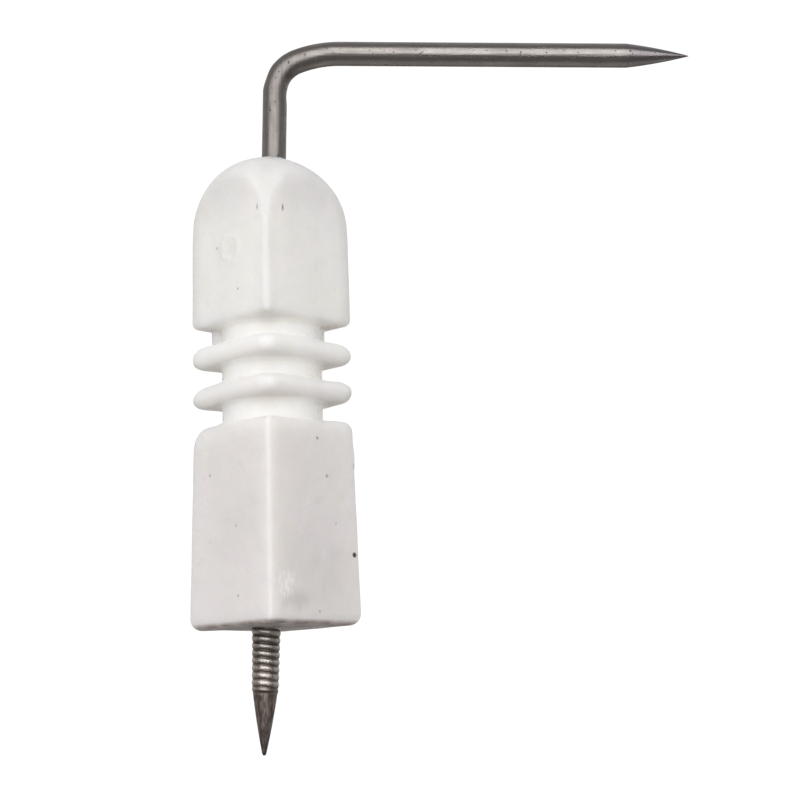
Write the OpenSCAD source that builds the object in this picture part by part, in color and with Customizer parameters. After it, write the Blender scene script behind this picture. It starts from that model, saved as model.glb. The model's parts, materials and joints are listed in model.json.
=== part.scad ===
// Electric fence insulator: a square moulded plastic body turning stiffly on an L-shaped steel
// drive pin. Millimetres. Origin: centre of the body's flat bottom face. +Z runs up along the pin,
// and +X is the way the pin's leg points. The body's four corners point along X and Y.

/* [Body] */
// Height of the top of the lower block above the bottom face
block_h = 32; // [26:0.5:33]
// Half diagonal of the lower block at its top
block_top_r = 12.75; // [12.2:0.05:13.6]
// Half diagonal of the lower block at its bottom
block_bottom_r = 13.45; // [12.6:0.05:14.2]
// Rounding of the block's four upright edges
block_corner = 0.6; // [0.4:0.1:1.6]
// Rounding of the block's top edges
block_top_round = 2.2; // [1.2:0.1:3]
// Rounding of the block's bottom edges
block_bottom_round = 1.9; // [1:0.1:2.4]
// Half diagonal of the two sheds
shed_r = 12.8; // [11.5:0.05:13.4]
// Thickness of each shed
shed_t = 3.4; // [2.6:0.05:3.6]
// Width of the lowest wire groove
low_groove_w = 3.4; // [2.4:0.1:4.5]
// Width of the two upper wire grooves
groove_w = 3; // [2.4:0.1:4.5]
// Half diagonal of the head, and radius of its dome
head_r = 12.7; // [12:0.05:13.6]
// Height of the head's straight sides, up to where the dome begins
head_side_h = 15.65; // [12:0.05:18]
// Rounding of the head's four upright edges
head_round = 0.9; // [0.8:0.1:2]
// Rounding of the head's lower edge at the corners
head_edge = 1; // [0.4:0.1:1.4]
// Diameter of the round neck inside the grooves
neck_d = 16.1; // [14:0.1:17]
// Radius of the fillets at both ends of each groove
neck_fillet = 0.7; // [0.3:0.1:1]

/* [Drive pin] */
// Diameter of the steel wire
wire_d = 4; // [3.6:0.05:4.2]
// Lean of the body's axis away from the pin, in degrees
body_lean = 1.75; // [0:0.05:2]
// Height on the body's axis at which the leaning pin crosses it
cross_h = 49.7; // [40:0.1:60]
// Height of the leg's centre line above the bottom face
leg_h = 95; // [92:0.5:110]
// Reach of the leg from the pin's axis to its point
leg_reach = 68.8; // [50:0.1:90]
// Length of the leg's ground point
leg_point = 10.4; // [8:0.1:14]
// Radius of the tight lower part of the bend
bend_r = 5.8; // [5:0.1:7]
// Radius of the gentle upper part of the bend
bend_run_out_r = 19; // [12:0.5:24]
// Angle turned by the tight part of the bend
bend_tight_angle = 68; // [50:1:75]

/* [Ring shank] */
// Length of the nail that stands out of the bottom face, to its point
nail_reach = 19.8; // [16:0.1:30]
// Length of the nail's ground point
nail_point = 10.5; // [8:0.1:12]
// Distance from one ring to the next
ring_pitch = 1.14; // [1:0.02:1.4]
// Diameter over the rings beside the body
ring_crest_d = 4.56; // [4.3:0.02:4.6]
// Diameter over the last ring above the point
ring_end_d = 4.2; // [4.1:0.02:4.24]
// Diameter between the rings
ring_root_d = 3.94; // [3.7:0.02:3.96]
// Number of rings that lie inside the body
rings_inside = 6; // [2:1:12]
// Gap all round between the pin and its bore
bore_gap = 0.04; // [0.02:0.01:0.06]
// Gap round the rings in the relief at the mouth of the bore
mouth_gap = 0.35; // [0.2:0.05:0.6]
// Depth of the relief at the mouth of the bore
mouth_depth = 0.6; // [0.4:0.1:1]

/* [Hidden] */
round_fn = 96;
hull_fn = 32;
plastic = [0.88, 0.87, 0.85];
steel = [0.55, 0.53, 0.51];

shed_low_z = block_h + low_groove_w;
shed_high_z = shed_low_z + shed_t + groove_w;
head_z = shed_high_z + shed_t + groove_w;
dome_z = head_z + head_side_h;
body_top = dome_z + head_r;

pin_x = -cross_h * sin(body_lean);
wire_r = wire_d / 2;
bore_top = body_top + 3;
corner_clip = 0.1;
joint_bead = 0.01;
plate_t = 0.01;
edge_step = 15;

bend_low_z = leg_h - bend_r * sin(bend_tight_angle) - bend_run_out_r * (1 - sin(bend_tight_angle));
bend_x = bend_r * (1 - cos(bend_tight_angle));
bend_z = bend_low_z + bend_r * sin(bend_tight_angle);
leg_start_x = bend_x + bend_run_out_r * cos(bend_tight_angle);
leg_straight = leg_reach - leg_point - leg_start_x;

ring_low_z = nail_point - nail_reach;
rings_outside = floor(-ring_low_z / ring_pitch);
ring_count = rings_outside + rings_inside;
ring_top_z = ring_low_z + ring_count * ring_pitch;
ring_root_r = ring_root_d / 2;
tip_r = 0.15;

// Crest radius of ring i, counted from the nail's point: it tapers off towards the point.
function ring_crest_r(i) =
    let (share = min(1, (i + 0.5) / rings_outside))
    (ring_end_d + (ring_crest_d - ring_end_d) * share) / 2;

// Points of one ring's profile: a short ramp on the point's side and a steeper step behind it.
function ring_points(i, grow) =
    let (z = ring_low_z + i * ring_pitch)
    [
        [ring_root_r + grow, z],
        [ring_root_r + grow, z + 0.15 * ring_pitch],
        [ring_crest_r(i) + grow, z + 0.6 * ring_pitch],
        [ring_crest_r(i) + grow, z + 0.8 * ring_pitch]
    ];

// Solid of revolution of the rings from number first upwards, grown outwards by grow.
module ring_stack(first, grow) {
    low = ring_low_z + first * ring_pitch;
    outline = [for (i = [first : ring_count - 1]) for (p = ring_points(i, grow)) p];
    rotate_extrude($fn = round_fn)
        polygon(concat([[0, low]], outline, [[ring_root_r + grow, ring_top_z], [0, ring_top_z]]));
}

// Four balls on the square's corners, at distance reach from the axis.
module corner_balls(reach, r, z) {
    for (turn = [0 : 90 : 270])
        rotate([0, 0, turn])
            translate([reach - r, 0, z])
                sphere(r = r, $fn = hull_fn);
}

// Square bar standing on its end, its corners at distance reach from the axis and rounded by r.
module square_bar(reach, r, h) {
    side = sqrt(2) * (reach - r);
    rotate([0, 0, 45])
        linear_extrude(height = h) {
            square([side, side + 2 * r], center = true);
            square([side + 2 * r, side], center = true);
            for (x = [-1, 1])
                for (y = [-1, 1])
                    translate([x * side / 2, y * side / 2])
                        circle(r = r);
        }
}

// Thin level slice of the block, with its corners at distance reach from the axis.
module block_slice(reach, z) {
    translate([0, 0, z])
        square_bar(reach, block_corner, plate_t, $fn = hull_fn);
}

// Lower block: tapered square bar with a rolled edge above and below.
module block() {
    hull()
        for (t = [0 : edge_step : 90]) {
            block_slice(block_bottom_r - block_bottom_round * (1 - cos(t)), block_bottom_round * (1 - sin(t)));
            translate([0, 0, block_h - plate_t])
                block_slice(block_top_r - block_top_round * (1 - cos(t)), block_top_round * (sin(t) - 1));
        }
}

// One shed: a square plate with its edges fully rounded.
module shed(z) {
    hull()
        corner_balls(shed_r, shed_t / 2, z + shed_t / 2);
}

// Half of the head's lathe outline: rounded lower corner, straight side and dome.
module head_outline() {
    intersection() {
        union() {
            translate([0, head_side_h])
                circle(r = head_r, $fn = round_fn);
            translate([0, head_edge])
                square([head_r, head_side_h - head_edge]);
            square([head_r - head_edge, 2 * head_edge]);
            translate([head_r - head_edge, head_edge])
                circle(r = head_edge, $fn = round_fn);
        }
        square([head_r + 1, body_top - head_z]);
    }
}

// Head: square bar turned to a dome, which clips its four corners very slightly.
module head() {
    translate([0, 0, head_z])
        intersection() {
            square_bar(head_r + corner_clip, head_round, body_top - head_z, $fn = round_fn);
            rotate_extrude($fn = round_fn)
                head_outline();
        }
}

// Round neck that runs through the grooves.
module neck() {
    cylinder(h = dome_z, d = neck_d, $fn = round_fn);
}

// Fillet rings at both ends of one groove, from height z to z + width.
module groove_fillets(z, width) {
    r = neck_d / 2;
    for (side = [0, 1])
        translate([0, 0, z + side * width])
            mirror([0, 0, side])
                rotate_extrude($fn = round_fn)
                    difference() {
                        translate([r - 0.5, -0.5])
                            square([neck_fillet + 0.5, neck_fillet + 0.5]);
                        translate([r + neck_fillet, neck_fillet])
                            circle(r = neck_fillet, $fn = round_fn);
                    }
}

// Bore for the pin: plain above, shaped by the rings below, and relieved at its mouth.
module pin_bore() {
    translate([0, 0, -1])
        cylinder(h = 1 + mouth_depth, r = ring_crest_d / 2 + mouth_gap, $fn = round_fn);
    translate([0, 0, ring_top_z])
        cylinder(h = bore_top - ring_top_z, r = wire_r + bore_gap, $fn = round_fn);
    ring_stack(0, bore_gap);
}

module insulator_body() {
    color(plastic)
        difference() {
            rotate([0, -body_lean, 0]) {
                block();
                shed(shed_low_z);
                shed(shed_high_z);
                head();
                neck();
                groove_fillets(block_h, low_groove_w);
                groove_fillets(shed_low_z + shed_t, groove_w);
                groove_fillets(shed_high_z + shed_t, groove_w);
            }
            translate([pin_x, 0, 0])
                pin_bore();
        }
}

// Arc of wire in the XZ plane, starting straight up at the origin and turning towards +X.
module wire_arc(r, angle) {
    translate([r, 0, 0])
        rotate([90, 0, 0])
            rotate([0, 0, 180 - angle])
                rotate_extrude(angle = angle, $fn = round_fn)
                    translate([r, 0])
                        circle(d = wire_d, $fn = round_fn);
}

// Ball that blends two lengths of wire where they meet.
module wire_joint() {
    sphere(r = wire_r + joint_bead, $fn = round_fn);
}

// Ground point of the wire, along +Z from the origin: slightly bellied, with a blunted tip.
module ground_point(base_r, length) {
    mid_r = 0.58 * base_r;
    cylinder(h = length / 2, r1 = base_r, r2 = mid_r, $fn = round_fn);
    translate([0, 0, length / 2])
        cylinder(h = length / 2, r1 = mid_r, r2 = tip_r, $fn = round_fn);
}

module drive_pin() {
    color(steel)
        translate([pin_x, 0, 0]) {
            translate([0, 0, ring_low_z])
                rotate([180, 0, 0])
                    ground_point(ring_root_r, nail_point);
            ring_stack(0, 0);
            translate([0, 0, ring_top_z])
                cylinder(h = bend_low_z - ring_top_z, d = wire_d, $fn = round_fn);
            translate([0, 0, bend_low_z]) {
                wire_joint();
                wire_arc(bend_r, bend_tight_angle);
            }
            translate([bend_x, 0, bend_z])
                rotate([0, bend_tight_angle, 0]) {
                    wire_joint();
                    wire_arc(bend_run_out_r, 90 - bend_tight_angle);
                }
            translate([leg_start_x, 0, leg_h])
                rotate([0, 90, 0]) {
                    wire_joint();
                    cylinder(h = leg_straight, d = wire_d, $fn = round_fn);
                }
            translate([leg_start_x + leg_straight, 0, leg_h])
                rotate([0, 90, 0])
                    ground_point(wire_r, leg_point);
        }
}

insulator_body();
drive_pin();
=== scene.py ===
import json
import math

import bpy
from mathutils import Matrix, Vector, noise


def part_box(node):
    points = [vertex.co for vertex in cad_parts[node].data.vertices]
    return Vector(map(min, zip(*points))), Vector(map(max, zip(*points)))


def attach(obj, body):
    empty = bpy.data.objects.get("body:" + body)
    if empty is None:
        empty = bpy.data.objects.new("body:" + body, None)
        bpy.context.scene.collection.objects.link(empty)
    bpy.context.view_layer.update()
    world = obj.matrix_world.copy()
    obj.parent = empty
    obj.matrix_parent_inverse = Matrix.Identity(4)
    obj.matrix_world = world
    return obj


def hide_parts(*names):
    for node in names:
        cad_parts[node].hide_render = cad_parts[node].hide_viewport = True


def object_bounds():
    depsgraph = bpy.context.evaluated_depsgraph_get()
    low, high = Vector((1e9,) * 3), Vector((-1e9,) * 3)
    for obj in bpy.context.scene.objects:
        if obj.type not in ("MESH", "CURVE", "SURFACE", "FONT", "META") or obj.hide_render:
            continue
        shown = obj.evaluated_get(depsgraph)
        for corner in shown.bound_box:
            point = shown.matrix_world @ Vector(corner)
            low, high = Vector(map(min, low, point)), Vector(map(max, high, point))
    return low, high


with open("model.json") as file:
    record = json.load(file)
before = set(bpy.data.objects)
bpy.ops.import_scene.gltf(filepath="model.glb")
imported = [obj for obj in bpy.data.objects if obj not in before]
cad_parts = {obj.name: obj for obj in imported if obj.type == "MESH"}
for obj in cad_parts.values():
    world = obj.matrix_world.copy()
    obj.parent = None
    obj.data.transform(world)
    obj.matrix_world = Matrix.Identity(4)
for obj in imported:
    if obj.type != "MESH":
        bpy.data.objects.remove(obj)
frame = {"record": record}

MM = 0.001
cad_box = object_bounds()
mounts = {m["name"]: m for m in frame["record"]["mounts"]}

# The frame: the body leans away from the pin, whose axis is parallel to +Z.
SEAT_AXIS = mounts["seat_face"]["axis"]
LEAN = math.atan2(SEAT_AXIS[0], -SEAT_AXIS[2])
PIN_X = mounts["nail_shank"]["pos_m"][0] / MM
LEG_H = mounts["leg_shank"]["pos_m"][2] / MM
WIRE_R = mounts["leg_shank"]["dims"]["r_mm"]
PIN_LOW, PIN_HIGH = (Vector(c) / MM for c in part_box("drive_pin"))

# Body, in millimetres along its own axis from the centre of its bottom face.
BLOCK_H = 32.0
LOW_GROOVE_W = 3.4
GROOVE_W = 3.0
SHED_T = 3.4
HEAD_SIDE_H = 15.65
BLOCK_BOTTOM_R = 13.43
BLOCK_TOP_R = 12.73
BLOCK_CORNER = 0.6
BLOCK_BOTTOM_EDGE = 1.9
SHED_R = 12.75
SHED_CORNER = 2.2
SHED_WIDEST = 0.44
SHED_ROLL_LOW = 1.6
SHED_ROLL_HIGH = 2.9
HEAD_R = 12.75
DOME_R = 12.62
HEAD_CORNER = 0.9
HEAD_EDGE = 1.0
HEAD_SLOPE = 0.25
NECK_R = 8.05
FILLET = 0.7

# A plain, faintly raised ring on the head, left by an insert of the mould.
MARK = (-6.0, -6.7, 60.0)
MARK_R = 2.0

SHED_LOW_Z = BLOCK_H + LOW_GROOVE_W
SHED_HIGH_Z = SHED_LOW_Z + SHED_T + GROOVE_W
HEAD_Z = SHED_HIGH_Z + SHED_T + GROOVE_W
DOME_Z = HEAD_Z + HEAD_SIDE_H
PIN_CROSS_Z = -PIN_X / math.sin(LEAN)

# Pin, in millimetres.
BEND_R = 5.8
RUN_OUT_R = 19.0
TIGHT_ANGLE = math.radians(68)
LEG_POINT = 10.4
NAIL_POINT = 10.5
NAIL_R = 2.04
RING_PITCH = 1.14
RING_LEAN = math.radians(5.2)
# Rings outside the body, the first of them on the nail's point, and rings hidden inside it.
RINGS_OUT = 9
RINGS_IN = 6
BORE_GAP = 0.04
RING_BORE_R = 2.3


# ---------------------------------------------------------------- meshes

def new_piece(name, rings, looped, body, node, place):
    """Mesh through rings of points, each joined to the next, riding on a body."""
    verts = [place(p) for ring in rings for p in ring]
    count = len(rings[0])
    rows = len(rings)
    faces = []
    last = rows if looped else rows - 1
    for j in range(last):
        a, b = j * count, (j + 1) % rows * count
        for i in range(count):
            n = (i + 1) % count
            faces.append((a + i, a + n, b + n, b + i))
    if not looped:
        for row, order in ((0, -1), (rows - 1, 1)):
            faces.append(tuple(row * count + i for i in range(count))[::order])
    mesh = bpy.data.meshes.new(name)
    mesh.from_pydata(verts, [], faces)
    mesh.validate()
    mesh.shade_smooth()
    piece = bpy.data.objects.new(name, mesh)
    bpy.context.scene.collection.objects.link(piece)
    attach(piece, body)
    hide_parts(node)
    return piece


def steps(start, end, count):
    """count values from start to end, both included."""
    return [start + (end - start) * i / (count - 1) for i in range(count)]


def ease(t):
    """Smooth step from 0 to 1."""
    t = min(max(t, 0), 1)
    return t * t * (3 - 2 * t)


def hump(t):
    """Smooth hump: 1 at 0, and 0 from 1 outwards."""
    return 1 - ease(abs(t))


# ---------------------------------------------------------------- insulator body

FLAT_STEPS = 30
CORNER_STEPS = 22
CORNER_TURN = 0.15


def ring_angles():
    """Directions of one ring's points, closest together at the square's four corners."""
    quarter = []
    for t in steps(-1, 1, CORNER_STEPS + 1)[:-1]:
        quarter.append(CORNER_TURN * math.copysign(abs(t) ** 1.6, t))
    end = math.tan(math.pi / 4 - CORNER_TURN)
    quarter += [math.pi / 4 - math.atan(end * (1 - 2 * i / FLAT_STEPS)) for i in range(FLAT_STEPS)]
    return [q + k * math.pi / 2 for k in range(4) for q in quarter]


ANGLES = ring_angles()


def off_corner(angle):
    """Angle from the nearest of the four corners, which lie on X and Y."""
    return abs((angle + math.pi / 4) % (math.pi / 2) - math.pi / 4)


def left(angle):
    """1 at the corner on -X, falling to 0 to both sides."""
    return max(0, -math.cos(angle)) ** 6


def right(angle):
    """1 at the corner on +X, falling to 0 to both sides."""
    return max(0, math.cos(angle)) ** 6


def soft_min(a, b, sharp):
    """The smaller of two lengths, rounded over where they cross."""
    return (a ** -sharp + b ** -sharp) ** (-1 / sharp)


def soft_max(a, b, sharp):
    """The larger of two lengths, filleted where they cross."""
    return (a ** sharp + b ** sharp) ** (1 / sharp)


def square_radius(angle, reach, corner):
    """Distance out to a square with rounded corners, which lie at distance reach from the axis."""
    off = off_corner(angle)
    arm = reach - corner
    turn = math.atan2(corner * math.sqrt(0.5), arm + corner * math.sqrt(0.5))
    if off < turn:
        return arm * math.cos(off) + math.sqrt(corner ** 2 - (arm * math.sin(off)) ** 2)
    return (arm * math.sqrt(0.5) + corner) / math.cos(math.pi / 4 - off)


def square_ring(reach, corner, z):
    return [(square_radius(a, reach, corner), z) for a in ANGLES]


def neck_ring(radius, z):
    """Round ring, with the thin webs of flash that the mould left at the two side corners."""
    web = ease((z - SHED_HIGH_Z - SHED_T - 0.2) / 0.4)
    ring = []
    for a in ANGLES:
        fin = 1.6 * math.exp(-((abs(a % (2 * math.pi) - math.pi)) / 0.045) ** 2)
        fin += 0.5 * math.exp(-(math.sin(a) / 0.06) ** 2) * max(0, math.cos(a))
        ring.append((max(radius, NECK_R + web * fin), z))
    return ring


def between(ring_a, ring_b, count):
    """Rings between two rings, without either."""
    rings = []
    for t in steps(0, 1, count + 2)[1:-1]:
        rings.append([(a[0] + (b[0] - a[0]) * t, a[1] + (b[1] - a[1]) * t) for a, b in zip(ring_a, ring_b)])
    return rings


def edge_rings(reach, corner, z, inset, rise, start, end, count):
    """Rings round a rolled edge, from angle start to end above the horizontal, in degrees.

    z, inset and rise are functions of the direction round the axis.
    """
    rings = []
    for t in steps(math.radians(start), math.radians(end), count):
        ring = []
        for a in ANGLES:
            pull = inset(a) * (1 - math.cos(t))
            radius = soft_max(square_radius(a, reach - pull, corner), NECK_R + FILLET + 0.12, 60)
            ring.append((radius, z(a) + rise(a) * math.sin(t)))
        rings.append(ring)
    return rings


def fixed(value):
    """A function of direction that always gives the same value."""
    return lambda angle: value


def neck_rings(low, high):
    """Groove wall from height low to high, with a fillet at each end."""
    rings = []
    for t in steps(0, math.pi / 2, 9):
        rings.append(neck_ring(NECK_R + FILLET * (1 - math.sin(t)), low + FILLET * (1 - math.cos(t))))
    rings += between(rings[-1], neck_ring(NECK_R, high - FILLET), 5)
    for t in steps(math.pi / 2, 0, 9):
        rings.append(neck_ring(NECK_R + FILLET * (1 - math.sin(t)), high - FILLET * (1 - math.cos(t))))
    return rings


def shed_rings(z):
    """One shed, from where the neck meets its underside to where it meets its top."""
    middle = z + SHED_T * SHED_WIDEST
    low, high = fixed(middle - z), fixed(z + SHED_T - middle)
    below = edge_rings(SHED_R, SHED_CORNER, fixed(middle), fixed(SHED_ROLL_LOW), low, -90, 0, 12)
    above = edge_rings(SHED_R, SHED_CORNER, fixed(middle), fixed(SHED_ROLL_HIGH), high, 0, 90, 20)
    start, end = neck_ring(NECK_R + FILLET, z), neck_ring(NECK_R + FILLET, z + SHED_T)
    return between(start, below[0], 2) + below + above[1:] + between(above[-1], end, 2)


def block_rings():
    """Lower block, from its bottom edge to the foot of the neck."""
    def edge(angle):
        return BLOCK_BOTTOM_EDGE - 0.5 * (1 - left(angle) - right(angle))

    def rise(angle):
        return 2.1 + 1.9 * left(angle) - 0.3 * right(angle)

    def inset(angle):
        return 2.0 + 0.8 * left(angle) - 0.4 * right(angle)

    def start(angle):
        return BLOCK_H + 0.45 * right(angle) + 0.15 * left(angle) - rise(angle)

    rings = edge_rings(BLOCK_BOTTOM_R, BLOCK_CORNER, edge, edge, edge, -90, 0, 16)
    top = edge_rings(BLOCK_TOP_R, BLOCK_CORNER, start, inset, rise, 0, 90, 24)
    rings += between(rings[-1], top[0], 56) + top
    return rings + between(top[-1], neck_ring(NECK_R + FILLET, BLOCK_H), 2)


def head_rings():
    """Head, from where the neck meets its underside up over the dome."""
    edge = fixed(HEAD_EDGE)
    rings = edge_rings(HEAD_R, HEAD_CORNER, fixed(HEAD_Z + HEAD_EDGE), edge, edge, -90, 0, 12)
    rings = between(neck_ring(NECK_R + FILLET, HEAD_Z - HEAD_SLOPE), rings[0], 2) + rings
    rings += between(rings[-1], square_ring(DOME_R, HEAD_CORNER, DOME_Z), 30)
    for t in steps(0, math.radians(73), 48):
        ball = DOME_R * math.cos(t)
        ring = []
        for a in ANGLES:
            sharp = 15 + 75 * math.cos(2 * off_corner(a)) ** 8
            side = square_radius(a, DOME_R + 0.12, HEAD_CORNER)
            ring.append((soft_min(side, ball, sharp), DOME_Z + DOME_R * math.sin(t)))
        rings.append(ring)
    return rings


def as_moulded(x, y, z):
    """Moves a point of the skin by what the moulding differs from its plan."""
    angle = math.atan2(y, x)
    out = ease((math.hypot(x, y) - NECK_R) / 3)
    side = x / SHED_R
    # The lower shed is tilted. The upper one sags at its left corner, and so does the block's foot.
    z += 0.46 * side * out * hump((z - SHED_LOW_Z - SHED_T / 2) / 3.4)
    if side < 0:
        sag = 0.12 - 0.57 * ease((SHED_HIGH_Z + SHED_T - z) / SHED_T)
        z += sag * side * side * out * hump((z - SHED_HIGH_Z - SHED_T / 2) / 3.2)
        z -= 0.3 * side * side * out * hump(z / 6)
    # The dome's crown drifts to the left.
    x -= 0.4 * ease((z - DOME_Z) / DOME_R) ** 3
    # The broad faces are slightly sunk, the right corner of the block carries a bead of flash, and
    # the whole skin waves faintly. The ring on the head is raised.
    sink = math.sin(2 * off_corner(angle)) ** 2 * out
    sink *= 0.16 * hump((z - 16) / 17) + 0.12 * hump((z - DOME_Z + 5) / 13)
    bead = 0.14 * right(angle) ** 12 * hump((z - BLOCK_H + 5.2) / 2.5)
    wave = 0.035 * noise.noise(Vector((x, y, z)) * 0.16) * out
    ring = 0.09 * hump((math.dist((x, y, z), MARK) - MARK_R) / 0.9)
    grow = 1 + (bead + wave + ring - sink) / max(math.hypot(x, y), NECK_R)
    return x * grow, y * grow, z


def pin_circle(radius, z):
    """Ring of points round the pin's axis at body height z."""
    middle = (z - PIN_CROSS_Z) * math.tan(LEAN)
    return [(middle + radius * math.cos(a), radius * math.sin(a), z) for a in ANGLES]


def body_rings():
    """The whole skin as rings of points: up the outside, then down the bore and back to the start."""
    skin = block_rings()
    skin += neck_rings(BLOCK_H, SHED_LOW_Z)[1:-1] + shed_rings(SHED_LOW_Z)
    skin += neck_rings(SHED_LOW_Z + SHED_T, SHED_HIGH_Z) + shed_rings(SHED_HIGH_Z)
    skin += neck_rings(SHED_HIGH_Z + SHED_T, HEAD_Z - HEAD_SLOPE)[:-1] + head_rings()
    rings = [[as_moulded(r * math.cos(a), r * math.sin(a), z) for (r, z), a in zip(ring, ANGLES)]
             for ring in skin]
    rim = rings[-1]
    mouth = pin_circle(WIRE_R + BORE_GAP, DOME_Z + DOME_R - 0.1)
    for t in steps(0, 1, 9)[1:]:
        ring = []
        for p, q in zip(rim, mouth):
            x, y = p[0] + (q[0] - p[0]) * t, p[1] + (q[1] - p[1]) * t
            lip = 0.3 * t ** 3 * max(0, noise.noise(Vector((q[0] * 0.9, q[1] * 0.9, 7))) + 0.15)
            ring.append((x, y, p[2] + (q[2] - p[2]) * math.sin(t * math.pi / 2) + lip))
        rings.append(ring)
    rings += [pin_circle(WIRE_R + BORE_GAP, z) for z in steps(DOME_Z + DOME_R - 0.8, 7.2, 12)]
    rings += [pin_circle(RING_BORE_R, z) for z in (7.0, 4.8, 2.6, 0.3)]
    rings += [pin_circle(RING_BORE_R + 0.28, 0.0)]
    return rings


def place_body(p):
    """Body point in millimetres to the frame in metres."""
    x, y, z = p
    across, up = math.cos(LEAN), math.sin(LEAN)
    return ((x * across - z * up) * MM, y * MM, (x * up + z * across) * MM)


# ---------------------------------------------------------------- drive pin

PIN_SIDES = 72


def nail_radius(z):
    """Radius of the nail without its rings: a point with slightly bulging sides, then straight."""
    u = min((z - PIN_LOW.z) / NAIL_POINT, 1)
    return NAIL_R * (0.13 + 0.87 * u + 0.24 * u * (1 - u))


def ring_radius(angle, z):
    """Radius of the ringed shank: rolled rings that stand a little askew and fade towards the point."""
    low = PIN_LOW.z + NAIL_POINT - RING_PITCH
    level = z + NAIL_R * math.cos(angle) * math.tan(RING_LEAN)
    turn = (level - low) / RING_PITCH
    share = min(max((turn - 1) / (RINGS_OUT - 1), 0), 1)
    swell = 0.1 * share ** 5 * ease((RINGS_OUT + 0.6 - turn) / 0.5)
    crest = nail_radius(z) + 0.095 + 0.1 * share + swell
    depth = 0.13 + 0.05 * share
    rise = 0.5 - 0.5 * math.cos(2 * math.pi * turn)
    start = ease((level - low + 0.1) / 0.9)
    end = ease((low + (RINGS_OUT + RINGS_IN) * RING_PITCH - 0.4 - level) / 0.5)
    ringed = crest - depth * (1 - rise ** 0.6)
    plain = nail_radius(z) if turn < 3 else WIRE_R
    return plain + (ringed - plain) * start * end


def pin_path():
    """Stations along the pin from the nail's tip: centre x, centre z, direction and radius.

    The radius is None on the ringed shank, where it differs round the pin.
    """
    low, start = PIN_LOW.z, PIN_LOW.z + NAIL_POINT - RING_PITCH
    stations = []
    for t in steps(10, 80, 6):
        height = 0.26 * (1 - math.cos(math.radians(t)))
        stations.append((0, low + height, 0, 0.29 * math.sin(math.radians(t))))
    for z in steps(low + 0.28, start, 28)[:-1]:
        stations.append((0, z, 0, nail_radius(z)))
    ring_top = start + (RINGS_OUT + RINGS_IN) * RING_PITCH
    for z in steps(start, ring_top, (RINGS_OUT + RINGS_IN) * 14 + 1):
        stations.append((0, z, 0, None))
    bend_z = LEG_H - BEND_R * math.sin(TIGHT_ANGLE) - RUN_OUT_R * (1 - math.sin(TIGHT_ANGLE))
    for z in steps(ring_top + 0.3, 74, 8) + steps(75, bend_z, 40):
        stations.append((0, z, 0, WIRE_R))
    for t in steps(0, TIGHT_ANGLE, 30)[1:]:
        stations.append((BEND_R * (1 - math.cos(t)), bend_z + BEND_R * math.sin(t), t, WIRE_R))
    knee_x, knee_z = stations[-1][0], stations[-1][1]
    for t in steps(TIGHT_ANGLE, math.pi / 2, 24)[1:]:
        x = knee_x + RUN_OUT_R * (math.cos(TIGHT_ANGLE) - math.cos(t))
        z = knee_z + RUN_OUT_R * (math.sin(t) - math.sin(TIGHT_ANGLE))
        stations.append((x, z, t, WIRE_R))
    end = PIN_HIGH.x - PIN_X
    for x in steps(stations[-1][0], end - LEG_POINT, 60)[1:]:
        stations.append((x, LEG_H, math.pi / 2, WIRE_R))
    for u in steps(1, 0, 32)[1:]:
        reach = WIRE_R * (0.03 + 0.97 * u + 0.36 * u * (1 - u))
        stations.append((end - LEG_POINT * u, LEG_H, math.pi / 2, reach))
    return stations


def bruise(angle, z):
    """Depth of the dents that the bending left: one on the outside of the bend, one just inside."""
    outside = max(0, -math.cos(angle)) ** 3 * hump((z - 90) / 1.8)
    inside = max(0, math.cos(angle)) ** 3 * hump((z - 87.5) / 1.6)
    return 0.15 * outside + 0.1 * inside


def pin_rings():
    rings = []
    for x, z, turn, radius in pin_path():
        ring = []
        for i in range(PIN_SIDES):
            a = 2 * math.pi * i / PIN_SIDES
            reach = ring_radius(a, z) if radius is None else radius - bruise(a, z) * (turn < 0.8)
            side, out = reach * math.sin(a), reach * math.cos(a)
            ring.append((x + out * math.cos(turn), side, z - out * math.sin(turn)))
        rings.append(ring)
    return rings


def place_pin(p):
    return ((p[0] + PIN_X) * MM, p[1] * MM, p[2] * MM)


# ---------------------------------------------------------------- materials

# Plastic: the block, the head, painted light on the wall of the grooves for the glow through the milky
# plastic, pale scuffs and painted shade underneath.
BLOCK_TINT = (0.747, 0.715, 0.711)
HEAD_TINT = (0.83, 0.815, 0.80)
GROOVE_PAINTED_GLOW = (0.90, 0.885, 0.86)
SCUFF_TINT = (0.93, 0.91, 0.90)
UNDERSIDE_SHADE_TINT = (0.20, 0.17, 0.16)
# These multiply the plastic's tint: two kinds of cloudy patch, and painted shade that darkens the crown of
# the dome, which faces up into more light.
CLOUD = (0.985, 0.995, 0.975)
PATCH = (0.985, 0.985, 0.987)
CROWN_PAINTED_SHADE = (0.84, 0.835, 0.855)
# Where the tint changes, in body millimetres: heights, and for the grooves' wall the distance out.
HEAD_TINT_SPAN = (26, 52)
CROWN_SHADE_SPAN = (62, 73)
GROOVES_START = (31, 32)
GROOVES_END = (49, 50)
GROOVE_WALL = (8.3, 9.3)

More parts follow.
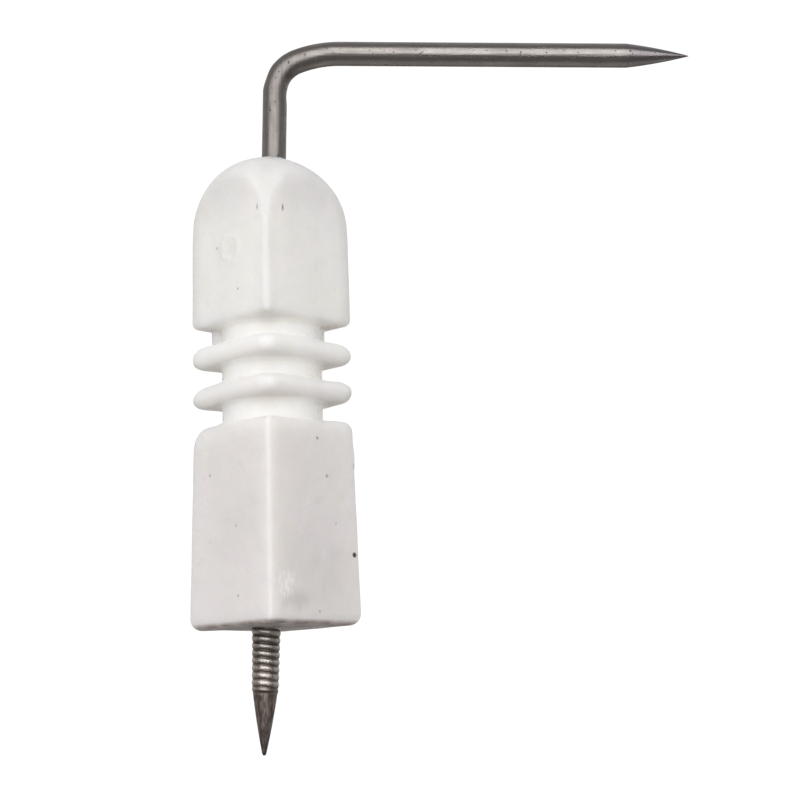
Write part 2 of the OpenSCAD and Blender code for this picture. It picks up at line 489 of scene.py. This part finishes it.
# Dark specks moulded into the skin: x, y, height, radius and strength, in body millimetres.
SPECKS = (
    (7.2, -5.7, 29.1, 0.15, 0.5), (8.5, -4.4, 23.2, 0.17, 0.5), (9.8, -3.3, 15.8, 0.13, 0.25),
    (12.6, -0.8, 11.0, 0.24, 0.95), (7.0, -6.3, 1.9, 0.18, 0.5), (-5.1, -8.2, 4.5, 0.16, 0.5),
    (-5.4, -7.7, 15.4, 0.14, 0.3), (-9.8, -3.1, 23.9, 0.15, 0.4), (-9.8, -3.3, 13.3, 0.12, 0.25),
    (-0.7, -11.8, 42.6, 0.14, 0.4), (0.7, -11.8, 42.5, 0.15, 0.45), (-11.6, -1.0, 37.2, 0.22, 0.6),
    (-4.6, -8.2, 52.9, 0.15, 0.5), (-8.2, -4.6, 60.5, 0.15, 0.3), (5.5, 7.2, 21.0, 0.18, 0.5),
    (-6.0, 6.7, 55.0, 0.18, 0.5),
)
# Two upright dark nicks beside the front ridge, and one in the flash of the block's right corner.
NICKS = (
    (-1.15, -11.65, 65.2, 0.18, 0.75), (2.5, -10.3, 65.4, 0.19, 0.75),
    (12.85, -0.2, 25.2, 0.16, 0.6),
)
NICK_SQUEEZE = 0.35
# The scuffed patch near the block's foot: a pale centre, and a grey smudge below it, wider than high.
SCUFF_PALE = (2.0, -10.9, 6.0)
SCUFF_GREY = (3.6, -9.6, 3.7)
SMUDGE_SHAPE = (0.7, 0.7, 1.3)
# Painted shade, with some dirt on the lower right face: the middles of the faces are slightly greyer, as
# less light comes through the milky plastic there than near the edges. Centre, reach and lightness.
FACE_SHADE_AND_DIRT = (((7.5, -6.0, 8), 13, 0.93), ((-5.5, -7.8, 15), 8, 0.965))

# Steel: drawn wire with darker lines and pits, and the leg's point.
STEEL_LIGHT = (0.272, 0.252, 0.240)
STEEL_DARK = (0.230, 0.210, 0.198)
STEEL_LINE = (0.18, 0.161, 0.151)
STEEL_PIT = (0.07, 0.055, 0.05)
LEG_POINT_TINT = (0.20, 0.182, 0.195)
# Painted shade: this multiplies the steel's colour on all but the leg, so the upright reflects the lamp less
# brightly.
UPRIGHT_PAINTED_SHADE = (0.82, 0.82, 0.82)
# Nail: its ground point and the darker tip, a painted highlight on the rings' crests, and painted shade
# between them.
GROUND_DARK = (0.075, 0.055, 0.048)
GROUND_LIGHT = (0.225, 0.190, 0.168)
TIP_TINT = (0.05, 0.04, 0.038)
CREST_GLINT_DARK = (0.26, 0.225, 0.20)
CREST_GLINT_LIGHT = (0.58, 0.54, 0.50)
RING_VALLEY_SHADE = (0.11, 0.09, 0.078)
# Where the leg, the leg's point, the nail, its tip and its rings start, in the frame's millimetres.
LEG_ALONG = (2.5, 7)
LEG_UP = (88, 91)
LEG_POINT_ALONG = (55.2, 58.0)
NAIL_DOWN = (-0.2, 0.6)
TIP_DOWN = (-20, -13)
RINGS_UP = (-10.7, -9.9)


class Nodes:
    """Short names for building a material's node tree, which works in millimetres."""

    def __init__(self, name):
        self.material = bpy.data.materials.new(name)
        self.material.use_nodes = True
        self.tree = self.material.node_tree
        self.shader = self.tree.nodes["Principled BSDF"]
        self.coord = self.tree.nodes.new("ShaderNodeTexCoord").outputs["Object"]

    def put(self, socket, value):
        """Links an output to an input, or sets the input to a constant."""
        if isinstance(value, bpy.types.NodeSocket):
            self.tree.links.new(value, socket)
        else:
            socket.default_value = value

    def place(self, turn=(0, 0, 0), scale=(1, 1, 1)):
        """Object coordinates in millimetres, scaled and turned."""
        node = self.tree.nodes.new("ShaderNodeMapping")
        node.vector_type = "POINT"
        self.put(node.inputs["Vector"], self.coord)
        self.put(node.inputs["Scale"], [s / MM for s in scale])
        self.put(node.inputs["Rotation"], turn)
        return node.outputs["Vector"]

    def noise(self, where, scale, detail=2.0, roughness=0.5):
        node = self.tree.nodes.new("ShaderNodeTexNoise")
        self.put(node.inputs["Vector"], where)
        self.put(node.inputs["Scale"], scale)
        self.put(node.inputs["Detail"], detail)
        self.put(node.inputs["Roughness"], roughness)
        return node.outputs["Fac"]

    def math(self, operation, a, b=0.0):
        node = self.tree.nodes.new("ShaderNodeMath")
        node.operation = operation
        self.put(node.inputs[0], a)
        self.put(node.inputs[1], b)
        return node.outputs["Value"]

    def times(self, a, b):
        return self.math("MULTIPLY", a, b)

    def plus(self, a, b):
        return self.math("ADD", a, b)

    def minus(self, a, b):
        return self.math("SUBTRACT", a, b)

    def vector_math(self, operation, a, b, result):
        node = self.tree.nodes.new("ShaderNodeVectorMath")
        node.operation = operation
        self.put(node.inputs[0], a)
        self.put(node.inputs[1], b)
        return node.outputs[result]

    def distance(self, where, point):
        return self.vector_math("DISTANCE", where, point, "Value")

    def stretch(self, where, scale):
        return self.vector_math("MULTIPLY", where, scale, "Vector")

    def spread(self, value, low, high, start=0.0, end=1.0):
        """Smoothly maps low..high to start..end, held beyond both."""
        node = self.tree.nodes.new("ShaderNodeMapRange")
        node.interpolation_type = "SMOOTHSTEP"
        self.put(node.inputs["Value"], value)
        self.put(node.inputs["From Min"], low)
        self.put(node.inputs["From Max"], high)
        self.put(node.inputs["To Min"], start)
        self.put(node.inputs["To Max"], end)
        return node.outputs["Result"]

    def blend(self, factor, a, b, kind="MIX"):
        """Mixes colour b into colour a; inputs 6 and 7 and output 2 are the node's colours."""
        node = self.tree.nodes.new("ShaderNodeMix")
        node.data_type = "RGBA"
        node.blend_type = kind
        self.put(node.inputs["Factor"], factor)
        self.put(node.inputs[6], a if isinstance(a, bpy.types.NodeSocket) else (*a, 1))
        self.put(node.inputs[7], b if isinstance(b, bpy.types.NodeSocket) else (*b, 1))
        return node.outputs[2]

    def axis(self, where, name):
        node = self.tree.nodes.new("ShaderNodeSeparateXYZ")
        self.put(node.inputs["Vector"], where)
        return node.outputs[name]

    def bump(self, height, distance, before=None):
        node = self.tree.nodes.new("ShaderNodeBump")
        self.put(node.inputs["Height"], height)
        self.put(node.inputs["Distance"], distance * MM)
        if before is not None:
            self.put(node.inputs["Normal"], before)
        return node.outputs["Normal"]

    def finish(self, **inputs):
        for name, value in inputs.items():
            self.put(self.shader.inputs[name.replace("_", " ")], value)
        return self.material


def groove_mask(n, where, height):
    """1 on the neck's wall in the three grooves, and 0 elsewhere."""
    off_axis = n.distance(n.stretch(where, (1, 1, 0)), (0, 0, 0))
    mask = n.times(n.spread(off_axis, *GROOVE_WALL, 1, 0), n.spread(height, *GROOVES_START))
    return n.times(mask, n.spread(height, *GROOVES_END, 1, 0))


def plastic_tint(n, where, height, patches, in_groove):
    """Colour of clean plastic: it changes with height and in cloudy patches, with painted shade on the
    dome's crown and painted light on the grooves' wall.
    """
    clouds = n.noise(where, 0.11, 3)
    tint = n.blend(n.spread(height, *HEAD_TINT_SPAN), BLOCK_TINT, HEAD_TINT)
    tint = n.blend(n.spread(clouds, 0.38, 0.64), tint, CLOUD, "MULTIPLY")
    tint = n.blend(n.spread(patches, 0.45, 0.7), tint, PATCH, "MULTIPLY")
    # Painted shade on the dome's crown.
    tint = n.blend(n.spread(height, *CROWN_SHADE_SPAN), tint, CROWN_PAINTED_SHADE, "MULTIPLY")
    # Painted light: the grooves' wall is lightened for the glow through the milky plastic.
    return n.blend(in_groove, tint, GROOVE_PAINTED_GLOW)


def plastic_shade(n, where, height):
    """Lightness of the plastic: fine grain, painted shade on the upright edges, specks, nicks, and painted
    shade with some dirt in the middles of the faces.
    """
    shade = n.spread(n.noise(where, 4.5, 3), 0.2, 0.8, 0.965, 1.02)
    # Painted shade: the four upright edges, where X or Y is 0, are darkened, most on the head, against the
    # extra lamp light that the front ridge catches.
    off_x = n.math("ABSOLUTE", n.axis(where, "X"))
    off_y = n.math("ABSOLUTE", n.axis(where, "Y"))
    off_edge = n.math("MINIMUM", off_x, off_y)
    ridge_shade = n.times(n.spread(height, 45, 50, 0.98, 0.89), n.spread(height, 65, 71, 1, 1.08))
    shade = n.times(shade, n.spread(off_edge, 0.2, 2.4, ridge_shade, 1))
    for x, y, z, radius, strength in SPECKS:
        gap = n.distance(where, (x, y, z))
        shade = n.times(shade, n.spread(gap, radius, radius * 2.4, 1 - strength, 1))
    squeezed = n.stretch(where, (1, 1, NICK_SQUEEZE))
    for x, y, z, radius, strength in NICKS:
        gap = n.distance(squeezed, (x, y, z * NICK_SQUEEZE))
        shade = n.times(shade, n.spread(gap, radius * 0.8, radius * 1.9, 1 - strength, 1))
    # Painted shade, with some dirt on the lower right face: greyer middles of the faces.
    for spot, reach, amount in FACE_SHADE_AND_DIRT:
        shade = n.times(shade, n.spread(n.distance(where, spot), 0, reach, amount, 1))
    return shade


def scuffed_patch(n, where):
    """The scuffed patch: the lightness of its grey smudge, and how much each point is scratched pale."""
    smear = n.times(n.noise(where, 0.9, 4, 0.6), 4.0)
    middle = [c * k for c, k in zip(SCUFF_GREY, SMUDGE_SHAPE)]
    gap = n.distance(n.stretch(where, SMUDGE_SHAPE), middle)
    grey = n.spread(n.plus(gap, smear), 2.1, 5.2, 0.86, 1)
    pale = n.spread(n.plus(n.distance(where, SCUFF_PALE), smear), 2.6, 5.0, 1, 0)
    streaks = n.noise(n.stretch(where, (1.8, 1.8, 0.6)), 1.4, 3)
    return grey, n.times(pale, n.spread(streaks, 0.42, 0.58, 0.15, 1))


def plastic_normal(n, where, in_groove, pale):
    """Surface of the plastic: waves, ripple and grain, calmer in the grooves, the ring and the scratches."""
    calm = n.spread(in_groove, 0, 1, 1, 0.25)
    waves = n.minus(n.noise(where, 0.42, 2), 0.5)
    ripple = n.minus(n.noise(where, 2.2, 3), 0.5)
    off_ring = n.math("ABSOLUTE", n.minus(n.distance(where, MARK), MARK_R))
    normal = n.bump(n.times(waves, calm), 0.30)
    normal = n.bump(n.times(ripple, calm), 0.025, normal)
    normal = n.bump(n.times(n.noise(where, 5.0, 2), calm), 0.004, normal)
    normal = n.bump(n.spread(off_ring, 0.05, 0.7, 1, 0), 0.10, normal)
    return n.bump(pale, -0.08, normal)


def plastic_material():
    """White moulded plastic: milky, faintly uneven in tint, with a few specks, nicks and scuffs."""
    n = Nodes("white_plastic")
    where = n.place(turn=(0, LEAN, 0))
    height = n.axis(where, "Z")
    patches = n.noise(where, 0.33, 2)
    in_groove = groove_mask(n, where, height)
    grey, pale = scuffed_patch(n, where)
    # Painted shade on the bottom face, which faces away from the light, mottled by the patches.
    underside_shade = n.times(n.spread(height, 0.1, 0.9, 1, 0), n.spread(patches, 0.3, 0.7, 0.6, 1.0))
    color = plastic_tint(n, where, height, patches, in_groove)
    color = n.blend(1.0, color, n.times(plastic_shade(n, where, height), grey), "MULTIPLY")
    color = n.blend(n.times(pale, 0.6), color, SCUFF_TINT)
    color = n.blend(underside_shade, color, UNDERSIDE_SHADE_TINT)
    roughness = n.spread(n.noise(where, 0.8, 4), 0.3, 0.7, 0.40, 0.54)
    roughness = n.plus(roughness, n.times(pale, 0.1))
    roughness = n.minus(roughness, n.times(in_groove, 0.16))
    normal = plastic_normal(n, where, in_groove, pale)
    return n.finish(Base_Color=color, Roughness=roughness, Normal=normal, Subsurface_Weight=1.0,
                    Subsurface_Radius=(1.0, 0.92, 0.82), Subsurface_Scale=0.007, IOR=1.5,
                    Specular_IOR_Level=0.18)


def steel_material():
    """Drawn steel wire: dull grey with lengthwise lines and pits, browner on the nail; painted shade on all
    but the leg, a painted highlight on the nail's ring crests and painted shade between them.
    """
    n = Nodes("pin_steel")
    where = n.place()
    height = n.axis(where, "Z")
    reach = n.axis(where, "X")
    clouds = n.noise(where, 0.25, 4, 0.6)
    grain = n.noise(where, 6.0, 3, 0.6)
    pitted = n.spread(n.noise(where, 1.9, 1), 0.70, 0.76)
    on_leg = n.times(n.spread(reach, *LEG_ALONG), n.spread(height, *LEG_UP))
    off_leg = n.minus(1.0, on_leg)
    on_point = n.spread(reach, *LEG_POINT_ALONG)
    on_nail = n.spread(height, *NAIL_DOWN, 1, 0)
    on_rings = n.times(on_nail, n.spread(height, *RINGS_UP))
    lines_up = n.noise(n.place(scale=(1, 1, 0.05)), 3.2, 3)
    lines_along = n.noise(n.place(scale=(0.05, 1, 1)), 3.2, 3)
    lines = n.plus(n.times(lines_up, off_leg), n.times(lines_along, on_leg))

    color = n.blend(n.spread(clouds, 0.35, 0.65), STEEL_LIGHT, STEEL_DARK)
    color = n.blend(n.spread(lines, 0.42, 0.62, 0, 0.45), color, STEEL_LINE)
    # Painted shade on all but the leg.
    color = n.blend(off_leg, color, UPRIGHT_PAINTED_SHADE, "MULTIPLY")
    color = n.blend(n.times(on_point, n.spread(clouds, 0.3, 0.6, 0.3, 0.8)), color, LEG_POINT_TINT)
    ground = n.blend(n.spread(lines_up, 0.38, 0.62), GROUND_DARK, GROUND_LIGHT)
    ground = n.blend(n.spread(height, *TIP_DOWN, 0.55, 0), ground, TIP_TINT)
    # Painted highlight on the rings' crests.
    crest_glint = n.blend(n.spread(grain, 0.35, 0.65), CREST_GLINT_DARK, CREST_GLINT_LIGHT)
    color = n.blend(n.times(on_nail, 0.9), color, n.blend(on_rings, ground, crest_glint))
    color = n.blend(n.times(pitted, 0.6), color, STEEL_PIT)

    # Painted shade fills the valleys between the rings, whose crests grow towards the body.
    off_axis = n.distance(n.place(scale=(1, 1, 0)), (PIN_X, 0, 0))
    proud = n.minus(off_axis, n.spread(height, -9.7, 0, 0, 0.12))
    uneven = n.plus(n.times(grain, 0.07), n.times(clouds, 0.05))
    crest = n.spread(n.plus(proud, uneven), 2.07, 2.19)
    color = n.blend(n.times(on_rings, n.minus(1.0, crest)), color, RING_VALLEY_SHADE)

    roughness = n.plus(n.spread(clouds, 0.3, 0.7, 0.24, 0.34), n.times(off_leg, 0.13))
    roughness = n.minus(roughness, n.times(on_rings, 0.14))
    roughness = n.plus(roughness, n.times(pitted, 0.25))
    normal = n.bump(lines, 0.03)
    normal = n.bump(n.times(grain, n.spread(height, *NAIL_DOWN, 1, 0.32)), 0.05, normal)
    normal = n.bump(pitted, -0.04, normal)
    return n.finish(Base_Color=color, Roughness=roughness, Normal=normal, Metallic=1.0)


# ---------------------------------------------------------------- pieces

body = new_piece(
    "moulded_insulator", body_rings(), True, "insulator", "insulator_body", place_body)
body.data.materials.append(plastic_material())
pin = new_piece("ring_shank_pin", pin_rings(), False, "pin", "drive_pin", place_pin)
pin.data.materials.append(steel_material())


# ---------------------------------------------------------------- stage, light and camera

# Lengths are in metres, but the lens and sensor are in millimetres; the lamp's power is in watts.
FLOOR_Z = -0.060
FLOOR_SIZE = 0.5
FLOOR_SEEN = (0.8, 0.8, 0.8)
BOUNCE_FRONT = (0.26, 0.25, 0.245)
BOUNCE_BEHIND = (0.78, 0.75, 0.73)
# The room's greys: each with its height in the view, from 0 straight down to 1 straight up.
ROOM = ((0.40, (0.05, 0.048, 0.046)), (0.53, (0.30, 0.295, 0.29)), (0.80, (0.22, 0.22, 0.22)))
ROOM_BEHIND = 3.0
BEHIND_SPAN = (-0.75, 0.3)
BACKDROP = 1.05
KEY_OFFSET = (-0.06, -0.585, 0.16)
KEY_SIZE = (1.05, 0.66)
KEY_POWER = 5.5
LENS = 83.25
SENSOR = 36
CAMERA_DISTANCE = 0.2977
CAMERA_TILT = math.radians(10.3)
CAMERA_TURN = math.radians(-0.45)
CAMERA_ROLL = math.radians(0.2)
AIM_OFFSET = Vector((-0.00693, 0, -0.00213))


def floor_material():
    """Pale to the camera; in reflections and bounced light, darker in front than behind."""
    n = Nodes("floor_pale")
    seen = n.tree.nodes.new("ShaderNodeLightPath").outputs["Is Camera Ray"]
    behind = n.spread(n.axis(n.place(), "Y"), -35, 25)
    bounce = n.blend(behind, BOUNCE_FRONT, BOUNCE_BEHIND)
    return n.finish(Base_Color=n.blend(seen, bounce, FLOOR_SEEN), Roughness=0.8)


def make_floor():
    bpy.ops.mesh.primitive_plane_add(size=FLOOR_SIZE, location=(0, 0, FLOOR_Z))
    floor = bpy.context.object
    floor.name = "studio_floor"
    floor.data.materials.append(floor_material())


def make_world():
    """White to the camera, and to everything else a grey room, dark below and brighter behind."""
    world = bpy.data.worlds.new("studio")
    bpy.context.scene.world = world
    world.use_nodes = True
    tree = world.node_tree
    nodes, links = tree.nodes, tree.links
    nodes.clear()
    coord = nodes.new("ShaderNodeTexCoord")
    split = nodes.new("ShaderNodeSeparateXYZ")
    spread = nodes.new("ShaderNodeMapRange")
    spread.inputs["From Min"].default_value = -1
    ramp = nodes.new("ShaderNodeValToRGB")
    greys = ramp.color_ramp.elements
    greys.new(0.5)
    for grey, (up, color) in zip(greys, ROOM):
        grey.position = up
        grey.color = (*color, 1)
    behind = nodes.new("ShaderNodeMapRange")
    behind.inputs["From Min"].default_value = BEHIND_SPAN[0]
    behind.inputs["From Max"].default_value = BEHIND_SPAN[1]
    behind.inputs["To Min"].default_value = 1.0
    behind.inputs["To Max"].default_value = ROOM_BEHIND
    room = nodes.new("ShaderNodeBackground")
    white = nodes.new("ShaderNodeBackground")
    white.inputs["Color"].default_value = (1, 1, 1, 1)
    white.inputs["Strength"].default_value = BACKDROP
    path = nodes.new("ShaderNodeLightPath")
    mix = nodes.new("ShaderNodeMixShader")
    out = nodes.new("ShaderNodeOutputWorld")
    links.new(coord.outputs["Generated"], split.inputs["Vector"])
    links.new(split.outputs["Z"], spread.inputs["Value"])
    links.new(spread.outputs["Result"], ramp.inputs["Fac"])
    links.new(ramp.outputs["Color"], room.inputs["Color"])
    links.new(split.outputs["Y"], behind.inputs["Value"])
    links.new(behind.outputs["Result"], room.inputs["Strength"])
    links.new(path.outputs["Is Camera Ray"], mix.inputs["Fac"])
    links.new(room.outputs["Background"], mix.inputs[1])
    links.new(white.outputs["Background"], mix.inputs[2])
    links.new(mix.outputs["Shader"], out.inputs["Surface"])


def aim(obj, target, roll=0.0):
    """Turns a lamp or camera to look at a point."""
    way = Vector(target) - obj.location
    turn = way.to_track_quat("-Z", "Y").to_matrix()
    obj.rotation_euler = turn.to_euler()
    if roll:
        obj.rotation_euler.rotate_axis("Z", roll)


def area_lamp(name, offset, size, power):
    """Rectangular lamp at an offset from the object's centre, facing it."""
    data = bpy.data.lights.new(name, "AREA")
    data.shape = "RECTANGLE"
    data.size, data.size_y = size
    data.energy = power
    lamp = bpy.data.objects.new(name, data)
    centre = (cad_box[0] + cad_box[1]) / 2
    lamp.location = centre + Vector(offset)
    bpy.context.scene.collection.objects.link(lamp)
    aim(lamp, centre)


def make_camera():
    """Camera in front of the object and a little below it, looking up."""
    low, high = cad_box
    target = (low + high) / 2 + AIM_OFFSET
    back = Vector((math.sin(CAMERA_TURN) * math.cos(CAMERA_TILT),
                   -math.cos(CAMERA_TURN) * math.cos(CAMERA_TILT), -math.sin(CAMERA_TILT)))
    data = bpy.data.cameras.new("camera")
    data.sensor_width = SENSOR
    data.lens = LENS
    data.clip_start = 0.01
    camera = bpy.data.objects.new("camera", data)
    camera.location = target + back * CAMERA_DISTANCE
    bpy.context.scene.collection.objects.link(camera)
    aim(camera, target, CAMERA_ROLL)
    bpy.context.scene.camera = camera


make_floor()
make_world()
area_lamp("key", KEY_OFFSET, KEY_SIZE, KEY_POWER)
make_camera()
bpy.context.scene.view_settings.view_transform = "Standard"
